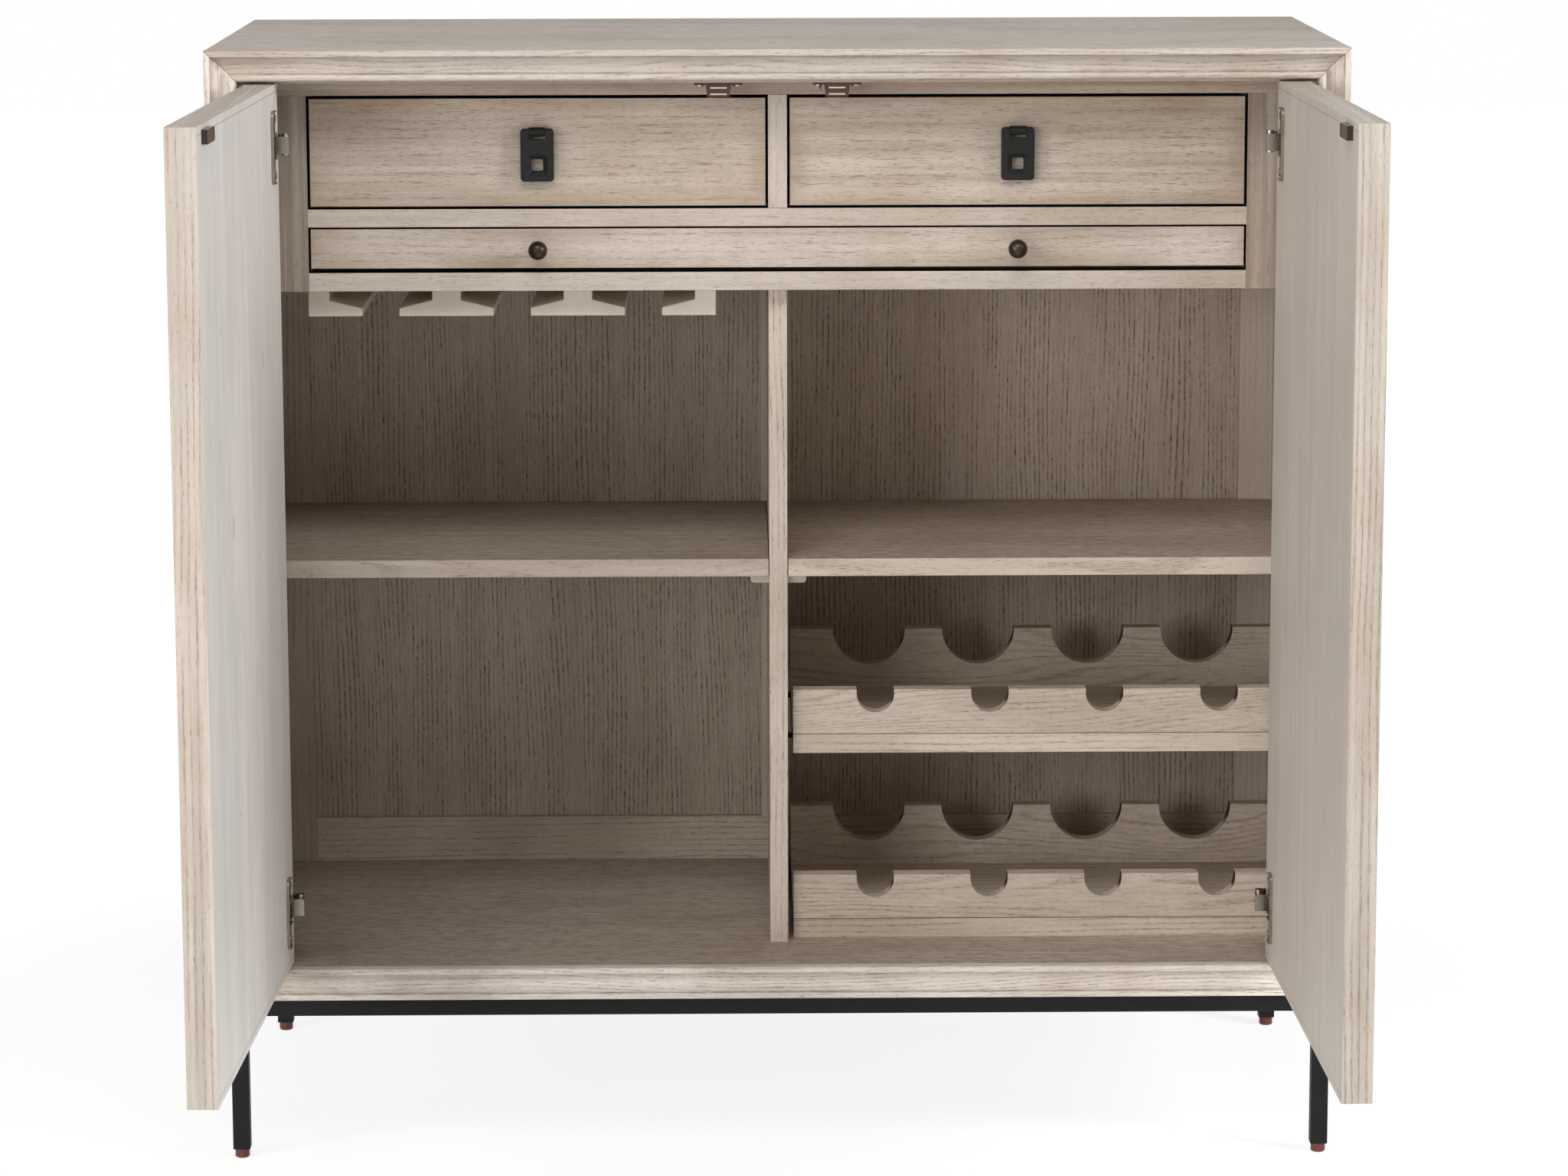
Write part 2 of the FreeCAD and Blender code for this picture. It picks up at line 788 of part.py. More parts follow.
def left_door_pieces():
    """The left door's pieces when it is shut."""
    left = -opening_half + door_side_gap
    right = left + door_width
    front, rear = door_set_back, door_rear
    low, high = door_bottom + lipping, door_top - lipping

    def along(axis):
        return lambda e: runs_along(e, axis)

    panel = box(left, right, front, rear, low, high)
    panel = rounded(panel, door_edge_round, along((0, 0, 1)))
    half = cup_half_height
    pocket = box(-cup_behind_pin, cup_ahead_of_pin, -cup_front, pin_to_inner_face, -half, half)
    pilots = [screw_pilot(s) for s in leaf_screws()]
    panel = panel.cut(Part.makeCompound(at_hinges(Part.makeCompound([pocket] + pilots))))
    strips = []
    for z0, z1 in ((door_bottom, low), (high, door_top)):
        strip = box(left, right, front, rear, z0, z1)
        strips.append(rounded(strip, door_edge_round, along((0, 0, 1))))

    near = right - strike_from_edge
    far = near - strike_width
    top = door_top - strike_drop
    face = rear + strike_thickness
    strike = box(far, near, rear, face, top - strike_height, top)

    def far_corner(e):
        return runs_along(e, (0, 1, 0)) and e.Vertexes[0].X < near

    strike = rounded(strike, strike_round, far_corner)
    border = strike_plate_border
    plate = box(
        near - border - strike_plate_width, near - border, face - strike_plate_thickness, face,
        top - strike_height + border, top - border,
    )
    pin = rod(pin_radius, 2 * half, (0, 0, -half), (0, 0, 1))
    fasteners = at_hinges(pin)
    for place in leaf_screws():
        fasteners += at_hinges(screw(*place))
    return {
        "door_panel": [panel],
        "door_lippings": strips,
        "door_strike": [strike.cut(plate), plate],
        "hinge_leaves": at_hinges(hinge_leaf()),
        "hinge_pins_and_screws": fasteners,
    }


def make_doors():
    for name, solids in left_door_pieces().items():
        save("left_" + name, *[door_turn(s, -1, left_rest_angle) for s in solids])
        save("right_" + name, *[door_turn(mirrored(s), 1, right_rest_angle) for s in solids])


def make_catches():
    top = catch_top
    low = top - catch_plate_thickness
    front = catch_front
    bodies, poles = [], []
    for side in (-1, 1):
        x = side * catch_from_centre
        half = catch_plate_width / 2
        body = catch_body_width / 2
        foot = catch_body_low_width / 2
        base = low - catch_body_height
        plate = box(x - half, x + half, front, front + catch_plate_depth, low, top)
        sides = ((-body, low), (-foot, base), (foot, base), (body, low))
        outline = [(x + along, front, z) for along, z in sides]
        parts = [prism(outline, (0, catch_body_depth, 0))]
        if side > 0:
            edge = x - body - catch_tab_gap
            rear = front + catch_body_depth
            tip = (edge, rear, low - catch_tab_height)
            outline = ((edge, rear, low), (edge - catch_tab_width, rear, low), tip)
            parts.append(prism(outline, (0, -catch_tab_thickness, 0)))
        catch = plate.fuse(parts).removeSplitter()
        for place in catch_screws():
            catch = catch.cut(screw_pilot(place))
        middle = low - catch_body_height / 2
        for way in (-1, 1):
            z = middle + way * pole_spacing / 2
            tip = front - pole_proud
            thin = pole_thickness / 2
            sides = (x - pole_width / 2, x + pole_width / 2)
            pole = box(*sides, tip, tip + pole_length, z - thin, z + thin)
            poles.append(pole)
            catch = catch.cut(pole)
        bodies.append(catch)
    save("catch_bodies", *bodies)
    save("catch_poles", *poles)


def make_case_fasteners():
    pieces = []
    for place in arm_screws():
        piece = screw(*place)
        pieces += [piece, mirrored(piece)]
    pieces += [screw(*place) for place in catch_screws()]
    length = rack_clearance + 2 * rack_pin_bite
    level = rack_pin_height()
    for y in rack_pin_rows():
        for start in (board / 2 - rack_pin_bite, side_inner - rack_clearance - rack_pin_bite):
            pieces.append(rod(rack_pin_radius, length, (start, y, level), (1, 0, 0)))
    save("screws_and_rack_pins", *pieces)


def slide_rail(x, z, toward, tall):
    """The fixed half of a slide: a channel on a wall at x that opens towards the drawer."""
    y0, y1 = slide_front, slide_rear
    half = tall / 2
    ends = sorted((x, x + toward * slide_lip))
    shape = box(*ends, y0, y1, z - half, z + half)
    ends = sorted((x + toward * slide_wall, x + toward * slide_lip))
    return shape.cut(box(*ends, y0, y1, z - half + slide_wall, z + half - slide_wall))


def slide_runner(x, z, toward, tall):
    """The moving half: a channel on a drawer side at x that runs inside the rail."""
    y0, y1 = slide_front, slide_rear - slide_set_back
    half = tall / 2 - slide_wall - slide_clearance
    ends = sorted((x, x + toward * slide_runner_width))
    shape = box(*ends, y0, y1, z - half, z + half)
    ends = sorted((x + toward * slide_wall, x + toward * slide_runner_width))
    return shape.cut(box(*ends, y0, y1, z - half + slide_wall, z + half - slide_wall))


def drawer_levels():
    """The bottom of a drawer's box and the middle of its slides."""
    low = top_rail_bottom - drawer_opening + drawer_gap + drawer_box_lift
    return low, low + drawer_box_height / 2


def tray_levels():
    """The bottom of the tray's box and the middle of its slides."""
    top = middle_rail_bottom - tray_top_gap
    low = top - (tray_front_height + tray_box_height) / 2
    return low, low + tray_box_height / 2


def make_slides():
    half = mullion_width / 2
    middle = drawer_levels()[1]
    rails = []
    for x, toward in ((-stile_inner, 1), (-half, -1)):
        rail = slide_rail(x, middle, toward, slide_height)
        rails += [rail, mirrored(rail)]
    rail = slide_rail(-stile_inner, tray_levels()[1], 1, tray_slide_height)
    rails += [rail, mirrored(rail)]
    save("slide_rails", *rails)


def front_board(x0, x1, z0, z1):
    """A drawer front with softened edges round its face."""
    front = face_set_back
    shape = box(x0, x1, front, front + drawer_front_thickness, z0, z1)
    return rounded(shape, drawer_front_round, lambda e: lies_on(e, front))


def pull_places():
    """The middle of the left pull's pin."""
    z = top_rail_bottom - drawer_top_gap - pull_drop
    return -pull_x, face_set_back - pull_projection, z


def left_drawer_pieces():
    outer, inner = -stile_inner, -mullion_width / 2
    top = top_rail_bottom - drawer_top_gap
    bottom = middle_rail_top + drawer_gap
    front = front_board(outer + drawer_gap, inner - drawer_gap, bottom, top)
    left, right = outer + slide_space, inner - slide_space
    y0, y1 = box_front, drawer_rear
    low, middle = drawer_levels()
    high = low + drawer_box_height
    floor_low = low + drawer_bottom_lift
    floor = box(
        left + drawer_side - drawer_groove, right - drawer_side + drawer_groove,
        y0, y1 - drawer_side + drawer_groove, floor_low, floor_low + drawer_bottom,
    )
    sides = [
        box(left, left + drawer_side, y0, y1, low, high),
        box(right - drawer_side, right, y0, y1, low, high),
        box(left + drawer_side, right - drawer_side, y1 - drawer_side, y1, low, high),
    ]
    runners = [
        slide_runner(left, middle, -1, slide_height),
        slide_runner(right, middle, 1, slide_height),
    ]
    return {
        "drawer_front": [front],
        "drawer_sides": [s.cut(floor) for s in sides],
        "drawer_bottom": [floor],
        "drawer_runners": runners,
    }


def pull_mount():
    """The lug on a drawer front with the pin that the flap turns on; the pin's middle is the origin."""
    half = lug_width / 2
    barrel = rod(lug_radius, lug_width, (-half, 0, 0), (1, 0, 0))
    post = box(-half, half, 0, pull_projection, -lug_post_height / 2, lug_post_height / 2)
    reach = flap_width / 2 - flap_edge_round
    pin = rod(pull_pin_radius, 2 * reach, (-reach, 0, 0), (1, 0, 0))
    return barrel.fuse([post, pin]).removeSplitter()


def pull_flap():
    """The plate that hangs on the lug's pin, with a bevelled square window."""
    half = flap_width / 2
    thick = flap_thickness / 2
    low = flap_top_margin - flap_height
    plate = box(-half, half, -thick, thick, low, flap_top_margin)
    plate = rounded(plate, flap_round, lambda e: runs_along(e, (0, 1, 0)))
    plate = rounded(plate, flap_edge_round, lambda e: lies_on(e, -thick))
    notch_half = lug_width / 2 + lug_side_clearance
    notch_low = flap_top_margin - flap_notch_depth
    plate = plate.cut(box(-notch_half, notch_half, -thick, thick, notch_low, flap_top_margin + overrun))
    middle = low + flap_window_rise
    hole = flap_window / 2
    window = box(-hole, hole, -thick, thick, middle - hole, middle + hole)
    plate = plate.cut(rounded(window, flap_recess_round, lambda e: runs_along(e, (0, 1, 0))))
    wide = flap_recess / 2

    def square(reach, y):
        corners = ((-reach, -reach), (reach, -reach), (reach, reach), (-reach, reach))
        points = [Vector(x, y, middle + z) for x, z in corners]
        return Part.makePolygon(points + points[:1])

    bevel = Part.makeLoft([square(wide, -thick), square(hole, -thick + flap_recess_depth)], True, True)
    bevel = rounded(bevel, flap_recess_round, lambda e: e.Vertexes[0].Y != e.Vertexes[1].Y)
    plate = plate.cut(bevel)
    bore = pull_pin_radius + running_clearance
    return plate.cut(rod(bore, flap_width, (-half, 0, 0), (1, 0, 0)))


def make_drawers():
    for name, solids in left_drawer_pieces().items():
        save("left_" + name, *solids)
        save("right_" + name, *[mirrored(s) for s in solids])
    place = pull_places()
    for name, shape in (("pull_mount", pull_mount()), ("pull_flap", pull_flap())):
        left = moved(shape, *place)
        save("left_" + name, left)
        save("right_" + name, mirrored(left))


def make_tray():
    top = middle_rail_bottom - tray_top_gap
    half = stile_inner - tray_gap
    save("tray_front", front_board(-half, half, top - tray_front_height, top))

    reach = stile_inner - slide_space
    y0, y1 = box_front, tray_rear
    low, middle = tray_levels()
    high = low + tray_box_height
    slab = box(-reach, reach, y0, y1, low, low + tray_board)
    save("tray_board", slab)
    side = box(-reach, -reach + tray_side, y0, y1, low + tray_board, high)
    back = box(-reach + tray_side, reach - tray_side, y1 - tray_side, y1, low + tray_board, high)
    save("tray_lips", side, mirrored(side), back)
    runner = slide_runner(-reach, middle, -1, tray_slide_height)
    save("tray_runners", runner, mirrored(runner))

    z = top - tray_front_height / 2
    face = face_set_back
    knob = Part.makeSphere(knob_radius, Vector(-pull_x, face - knob_projection, z))
    neck = rod(knob_neck_radius, knob_projection, (-pull_x, face, z), (0, -1, 0))
    foot = rod(knob_base_radius, knob_base_height, (-pull_x, face, z), (0, -1, 0))
    knob = knob.fuse([neck, foot]).removeSplitter()
    save("tray_knobs", knob, mirrored(knob))


def make_all():
    os.makedirs("parts", exist_ok=True)
    make_mouldings()
    make_case()
    make_face_frame()
    make_decks()
    make_back()
    make_shelves()
    make_stem_rack()
    make_wine_racks()
    make_base()
    make_hinge_arms()
    make_doors()
    make_catches()
    make_case_fasteners()
    make_slides()
    make_drawers()
    make_tray()


make_all()
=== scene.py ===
"""Looks of a whitewashed oak bar cabinet on a black steel base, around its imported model.

Metres. X runs to the viewer's right, Y to the back, Z up. Every texture is worked out from
object coordinates, which are the model's own places, so it stays with its piece at any pose.
"""
import math
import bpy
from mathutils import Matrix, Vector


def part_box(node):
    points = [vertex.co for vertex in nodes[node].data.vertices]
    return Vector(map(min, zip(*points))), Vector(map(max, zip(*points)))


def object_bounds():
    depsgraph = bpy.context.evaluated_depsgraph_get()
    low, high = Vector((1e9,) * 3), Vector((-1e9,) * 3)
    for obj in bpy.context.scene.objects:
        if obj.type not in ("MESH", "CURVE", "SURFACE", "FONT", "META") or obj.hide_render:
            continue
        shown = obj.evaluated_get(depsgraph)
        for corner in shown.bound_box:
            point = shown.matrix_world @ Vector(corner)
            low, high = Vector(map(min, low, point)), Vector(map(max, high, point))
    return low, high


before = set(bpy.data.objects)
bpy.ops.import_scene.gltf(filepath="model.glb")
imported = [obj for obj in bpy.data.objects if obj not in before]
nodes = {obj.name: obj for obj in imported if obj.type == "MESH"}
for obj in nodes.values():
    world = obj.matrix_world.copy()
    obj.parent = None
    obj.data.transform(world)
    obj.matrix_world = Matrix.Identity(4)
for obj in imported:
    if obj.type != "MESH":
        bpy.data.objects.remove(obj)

import zlib
from dataclasses import dataclass, replace

import bpy
from mathutils import Matrix, Vector

cad_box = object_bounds()

MM = 0.001
X, Y, Z = range(3)
UP, DOWN = (0, 0, 1), (0, 0, -1)
LEFT, RIGHT, FRONT = (-1, 0, 0), (1, 0, 0), (0, -1, 0)
WHITE = (1.0, 1.0, 1.0, 1.0)

# Places of the inputs and the output that a Mix node uses for colours
MIX_FACTOR, MIX_A, MIX_B, MIX_RESULT = 0, 6, 7, 2


# Shader trees
class Tree:
    """Builds the nodes of a material or a world with short calls that return sockets."""

    def __init__(self, owner):
        owner.use_nodes = True
        self.owner = owner
        self.nodes = owner.node_tree.nodes
        self.links = owner.node_tree.links
        self.nodes.clear()

    def node(self, kind, values=(), out=0, **settings):
        """Adds a node. values are its inputs, by order or by name, as sockets or constants."""
        made = self.nodes.new(kind)
        for key, value in settings.items():
            setattr(made, key, value)
        pairs = values.items() if isinstance(values, dict) else enumerate(values)
        for key, value in pairs:
            if isinstance(value, bpy.types.NodeSocket):
                self.links.new(value, made.inputs[key])
            else:
                made.inputs[key].default_value = value
        return made.outputs[out]

    def math(self, operation, *values):
        return self.node("ShaderNodeMath", values, operation=operation)

    def add(self, a, b):
        return self.math("ADD", a, b)

    def subtract(self, a, b):
        return self.math("SUBTRACT", a, b)

    def times(self, a, b):
        return self.math("MULTIPLY", a, b)

    def least(self, a, b):
        return self.math("MINIMUM", a, b)

    def most(self, a, b):
        return self.math("MAXIMUM", a, b)

    def above(self, a, b):
        return self.math("GREATER_THAN", a, b)

    def below(self, a, b):
        return self.math("LESS_THAN", a, b)

    def apart(self, a, b):
        """How far two values are apart."""
        return self.math("ABSOLUTE", self.subtract(a, b))

    def inside(self, value, low, high):
        """How far a value is from the nearer of two limits."""
        return self.least(self.subtract(value, low), self.subtract(high, value))

    def step(self, value, low, high, to_low=0.0, to_high=1.0):
        """A smooth step of a value from one range to another."""
        return self.node("ShaderNodeMapRange", {
            "Value": value, "From Min": low, "From Max": high, "To Min": to_low, "To Max": to_high,
        }, interpolation_type="SMOOTHSTEP")

    def mix(self, factor, a, b):
        """A colour between two colours."""
        colours = {MIX_FACTOR: factor, MIX_A: a, MIX_B: b}
        return self.node("ShaderNodeMix", colours, out=MIX_RESULT, data_type="RGBA")

    def vector(self, operation, *values):
        return self.node("ShaderNodeVectorMath", values, operation=operation)

    def split(self, vector):
        made = self.nodes.new("ShaderNodeSeparateXYZ")
        self.links.new(vector, made.inputs[0])
        return made.outputs

    def noise(self, vector, scale, detail, rough):
        return self.node("ShaderNodeTexNoise", {
            "Vector": vector, "Scale": scale, "Detail": detail, "Roughness": rough,
        })

    def shown(self):
        """1 for what the camera, a gloss or glass shows, and 0 for light that falls on the part."""
        rays = self.nodes.new("ShaderNodeLightPath").outputs
        seen = self.most(rays["Is Camera Ray"], rays["Is Glossy Ray"])
        return self.most(seen, rays["Is Transmission Ray"])

    def output(self, kind, shader):
        """Ends the tree and returns the material or world."""
        end = self.nodes.new(kind)
        self.links.new(shader, end.inputs["Surface"])
        return self.owner


class Surface(Tree):
    """A material's tree, with the place of the shaded point, its three parts and its direction."""

    def __init__(self, name):
        super().__init__(bpy.data.materials.new(name))
        here = self.nodes.new("ShaderNodeTexCoord").outputs
        self.place, self.normal = here["Object"], here["Normal"]
        self.parts = self.split(self.place)

    def toward(self, direction):
        """How squarely the surface looks in a direction."""
        return self.node("ShaderNodeVectorMath", (self.normal, direction), out=1, operation="DOT_PRODUCT")

    def level_with(self, direction):
        """How squarely the surface looks along a direction, either way."""
        return self.math("ABSOLUTE", self.toward(direction))

    def facing(self, direction, low=0.75, high=0.95):
        """1 on the faces that look in a direction and 0 on the others."""
        return self.step(self.toward(direction), low, high)

    def patches(self, scale, detail, rough):
        """Noise at the shaded point."""
        return self.noise(self.place, scale, detail, rough)

    def stretched(self, scales, detail, rough):
        """Noise at the shaded point, whose scale differs along X, Y and Z."""
        return self.noise(self.vector("MULTIPLY", self.place, scales), 1.0, detail, rough)

    def finish(self, values, height, bump, depth):
        """Ends the tree in a Principled shader whose bump follows a height."""
        values["Normal"] = self.node("ShaderNodeBump", {
            "Strength": bump, "Distance": depth, "Height": height,
        })
        return self.output("ShaderNodeOutputMaterial", self.node("ShaderNodeBsdfPrincipled", values))


def linear(r, g, b):
    """A colour written as on screen, 0 to 255, as the shader takes it."""
    def one(value):
        value /= 255.0
        return value / 12.92 if value <= 0.04045 else ((value + 0.055) / 1.055) ** 2.4

    return (one(r), one(g), one(b), 1.0)


def darker(colour, share):
    return tuple(part * share for part in colour[:3]) + (1.0,)


def seed_of(name):
    """A place in the texture that is the piece's own, the same each run."""
    value = zlib.crc32(name.encode())
    return [(value >> shift & 255) / 16.0 for shift in (0, 8, 16)]


# Colours of the oak
OAK = linear(204, 189, 173)
PORE = linear(112, 92, 76)
GLAZE = linear(158, 136, 116)
WASH = linear(220, 208, 195)
SHIMMER = linear(150, 130, 112)
# Painted shade, near black, in the gaps round the drawers, the tray and the racks
GAP_SHADE = linear(22, 17, 14)
# Painted shade on faces that get less light
FACE_SHADE = linear(88, 72, 59)
SEAM = linear(92, 66, 50)
# Painted shade along the moulding's grooves, and the glaze at its mitres
GROOVE_SHADE_AND_MITRE = linear(120, 98, 80)
# Painted light on fronts of the back frame
PAINTED_LIGHT = linear(238, 226, 212)

# The axes that run along the grain, across it on the face that shows, and through the board
CUTS = {
    "xy": (X, Y, Z), "xz": (X, Z, Y), "yx": (Y, X, Z), "yz": (Y, Z, X), "zx": (Z, X, Y), "zy": (Z, Y, X),
}

# Noises of the grain: scale along it, scale across it, detail and roughness
DRIFT = (1.3, 6.0, 2.0, 0.5)
SHIVER = (14.0, 60.0, 2.0, 0.5)
BREAKS = (7.0, 70.0, 2.0, 0.5)
LONG_PORES = (45.0, 1050.0, 1.0, 0.5)
FIBRE = (12.0, 1700.0, 2.0, 0.6)
BANDS = (2.2, 75.0, 3.0, 0.55)
BLOTS = (4.5, 8.0, 3.0, 0.55)

# Smooth steps: from and to a value, and where given what they return there
LINE_STEP = (0.06, 0.27, 1.0, 0.0)
BREAK_STEP = (0.36, 0.6, 0.25, 1.0)
SHORT_PORE_STEP = (0.0, 0.06)
LONG_PORE_STEP = (0.02, 0.09)
BAND_STEP = (0.30, 0.72, 0.0)
BLOT_STEP = (0.40, 0.72, 0.0)
FIBRE_STEP = (0.42, 0.75, 0.0, 0.14)
SILK_STEP = (0.40, 0.66, 0.0)

LINE_SLANT = 0.4        # how much the growth lines lean through the board
SHIVER_SHARE = 0.45     # shiver of the growth lines, as a share of their spacing
FIBRE_HEIGHT = 0.25     # height of the fibres, as a share of the depth of the pores
PORE_ROUGHNESS = 0.14   # how much rougher the pores are than the wash
BOARD_SHIFT = (1.3, 2.4, 1.7)       # from one board's texture to the next board's
OAK_IOR = 1.45
GRAIN_DEPTH = 0.3 * MM
GRAIN_BUMP = 0.3


@dataclass(frozen=True)
class Look:
    """How a board's oak looks."""

    spacing: float = 9.0 * MM               # between growth lines
    wander: float = 50.0 * MM               # how far the lines drift
    line: float = 0.06                      # tint of the lines
    pores: float = 0.52                     # how dark the pores are
    need: float = 0.645                     # how rare the pores are
    gather: float = 0.035                   # how much the pores keep to the lines
    slit: float = 0.8                       # how much the long pores show
    dash: tuple = (120.0, 1650.0, 1.0, 0.5)     # noise of the short pores
    cloud: float = 0.40                     # unevenness of the wash in clouds
    streak: float = 0.55                    # unevenness of the wash along the grain
    ripple: float = 0.12                    # how much the silky figure shows
    silk: tuple = (42.0, 300.0, 2.0, 0.6)       # noise of the silky figure


CALM = Look()
DRAWN = replace(CALM, line=0.12, pores=0.62, need=0.632, gather=0.05, streak=0.68, slit=1.0)
LINED = replace(CALM, spacing=6.5 * MM, wander=35.0 * MM, line=0.22, pores=0.6, need=0.675, gather=0.12)
SIDED = replace(LINED, line=0.16, cloud=0.26)
BROAD = replace(LINED, line=0.16, cloud=0.28)
EDGED = replace(LINED, line=0.42, pores=0.5)
BACKED = replace(CALM, spacing=5.2 * MM, wander=45.0 * MM, line=0.36, pores=0.9, need=0.70, gather=0.20,
                 cloud=0.25, ripple=0.2, dash=(150.0, 1500.0, 1.0, 0.5), slit=0.35)
RACKED = replace(CALM, spacing=8.5 * MM, wander=300.0 * MM, line=0.26, pores=0.7, need=0.665, gather=0.09,
                 ripple=0.2)
SHELVED = replace(CALM, spacing=7.5 * MM, wander=150.0 * MM, line=0.24, pores=0.55, need=0.655, gather=0.08,
                  ripple=0.6, silk=(62.0, 235.0, 2.0, 0.6))
TOPPED = replace(SHELVED, ripple=0.35)
PLAIN = replace(CALM, line=0.0, pores=0.15, need=0.72, gather=0.0, cloud=0.2, streak=0.2)
FLAMED = replace(CALM, spacing=5.0 * MM, wander=130.0 * MM, line=0.20, pores=0.65, need=0.665, gather=0.10,
                 cloud=0.5)


# Layers of the oak
def grain_axes(tree, name, cut, zones):
    """The place along the grain, across it and through the board, in the piece's own texture.

    zones are (axis, place) of planes between a node's boards: each board has its own texture.
    """
    parts = tree.parts
    if zones:
        count = 0.0
        for axis, plane in zones:
            count = tree.add(tree.above(parts[axis], plane), count)
        parts = tree.split(tree.vector("ADD", tree.place, tree.vector("MULTIPLY", BOARD_SHIFT, count)))
    return [tree.add(parts[axis], shift) for axis, shift in zip(CUTS[cut], seed_of(name))]


def grained(tree, axes, along, across, detail, rough):
    """Noise drawn out along the grain."""
    scales = (along, across, across)
    stretched = [tree.times(axis, scale) for axis, scale in zip(axes, scales)]
    return tree.noise(tree.node("ShaderNodeCombineXYZ", stretched), 1.0, detail, rough)


def growth_lines(tree, axes, look):
    """1 on a growth line and 0 off it. The lines drift, shiver and break off."""
    drift = tree.subtract(grained(tree, axes, *DRIFT), 0.5)
    shiver = tree.subtract(grained(tree, axes, *SHIVER), 0.5)
    across = tree.add(axes[1], tree.times(axes[2], LINE_SLANT))
    across = tree.add(across, tree.times(drift, look.wander))
    across = tree.add(across, tree.times(shiver, look.spacing * SHIVER_SHARE))
    phase = tree.math("FRACT", tree.math("DIVIDE", across, look.spacing))
    lines = tree.step(tree.apart(phase, 0.5), *LINE_STEP)
    return tree.times(lines, tree.step(grained(tree, axes, *BREAKS), *BREAK_STEP))


def pore_dashes(tree, axes, lines, look):
    """Short and long pores, more of them along the growth lines."""
    limit = tree.subtract(look.need, tree.times(lines, look.gather))
    short = tree.step(tree.subtract(grained(tree, axes, *look.dash), limit), *SHORT_PORE_STEP)
    long = tree.step(tree.subtract(grained(tree, axes, *LONG_PORES), limit), *LONG_PORE_STEP)
    return tree.most(short, tree.times(long, look.slit))


def oak_layers(tree, name, cut, tone, look, zones=()):
    """Colour and height of washed oak. tone is a colour, or a lit_and_shaded_tones of a node's boards."""
    if callable(tone):
        tone = tone(tree)
    axes = grain_axes(tree, name, cut, zones)
    lines = growth_lines(tree, axes, look)
    dashes = pore_dashes(tree, axes, lines, look)
    fibre = grained(tree, axes, *FIBRE)
    shimmer = tree.step(grained(tree, axes, *look.silk), *SILK_STEP, look.ripple)
    if cut in ("xy", "yx"):
        shimmer = tree.times(shimmer, tree.level_with(UP))

    base = tree.mix(tree.step(grained(tree, axes, *BANDS), *BAND_STEP, look.streak), tone, WASH)
    base = tree.mix(tree.step(grained(tree, axes, *BLOTS), *BLOT_STEP, look.cloud), base, GLAZE)
    base = tree.mix(tree.step(fibre, *FIBRE_STEP), base, GLAZE)
    base = tree.mix(shimmer, base, SHIMMER)
    base = tree.mix(tree.times(lines, look.line), base, GLAZE)
    base = tree.mix(tree.times(dashes, look.pores), base, PORE)
    return base, tree.subtract(tree.times(fibre, FIBRE_HEIGHT), dashes)


def oak(name, cut, look=CALM, tone=OAK, change=None, rough=0.56, zones=()):
    """An oak material. change may repaint parts of it by the surface's direction or place."""
    tree = Surface("oak_" + name)
    base, height = oak_layers(tree, name, cut, tone, look, zones)
    roughness = tree.step(height, -1.0, 0.3, to_low=rough + PORE_ROUGHNESS, to_high=rough)
    if change:
        base = change(tree, base)
    values = {"Base Color": base, "Roughness": roughness, "IOR": OAK_IOR}
    return tree.finish(values, height, GRAIN_BUMP, GRAIN_DEPTH)


def middle_of(node, axis):
    """A plane half way along a node's box."""
    low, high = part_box(node)
    return (low[axis] + high[axis]) / 2


# Changes of the oak by direction and place
def lit_and_shaded_tones(axis, plane, low, high):
    """One tone below a plane and another above it, painted light and shade for boards of one node that are
    lit differently.
    """
    def tone(tree):
        return tree.mix(tree.above(tree.parts[axis], plane), low, high)

    return tone


def shade_gap_sides(*directions):
    """Painted shade, near black, on the faces that look in these directions, as in the gaps round the
    drawers.
    """
    def change(tree, base):
        for direction in directions:
            base = tree.mix(tree.facing(direction), base, GAP_SHADE)
        return base

    return change


def glazed_and_gap_shaded_front(node):
    """Brown glaze left along the edges of a front, and painted shade, near black, on its sides in the gaps.
    """
    low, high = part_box(node)
    reach = 30 * MM
    least_glaze, most_glaze = 0.15, 0.62
    sides_shade = shade_gap_sides(UP, DOWN, LEFT, RIGHT)

    def change(tree, base):
        x, _, z = tree.parts
        inward = tree.least(tree.inside(x, low.x, high.x), tree.inside(z, low.z, high.z))
        near = tree.step(inward, 0.0, reach, to_low=1.0, to_high=0.0)
        patch = tree.step(tree.patches(scale=9.0, detail=2.0, rough=0.5), 0.3, 0.7, least_glaze, most_glaze)
        return sides_shade(tree, tree.mix(tree.times(near, patch), base, GLAZE))

    return change


def shaded_face(direction, amount):
    """Painted shade: a browner, darker colour on the face that looks in this direction."""
    def change(tree, base):
        return tree.mix(tree.times(tree.facing(direction), amount), base, FACE_SHADE)

    return change


def seamed(tree, base, levels, near, far, amount, colour):
    """A thin level line at each level, full up to near from its middle and gone at far."""
    for level in levels:
        line = tree.step(tree.apart(tree.parts[Z], level), near, far, to_low=amount, to_high=0.0)
        base = tree.mix(line, base, colour)
    return base


def inner_wash(tree, colour):
    """A smooth wash with soft bands, blots and small knots, as inside the doors."""
    shade = darker(colour, share=0.76)
    bands = tree.stretched(scales=(33.0, 33.0, 2.2), detail=6.0, rough=0.72)
    blots = tree.stretched(scales=(6.0, 6.0, 3.5), detail=3.0, rough=0.6)
    knots = tree.stretched(scales=(90.0, 90.0, 30.0), detail=0.0, rough=0.5)
    wash = tree.mix(tree.step(bands, 0.34, 0.70, to_high=0.6), colour, shade)
    wash = tree.mix(tree.step(blots, 0.38, 0.66, to_high=0.45), wash, shade)
    return tree.mix(tree.step(knots, 0.84, 0.88, to_high=0.7), wash, PORE)


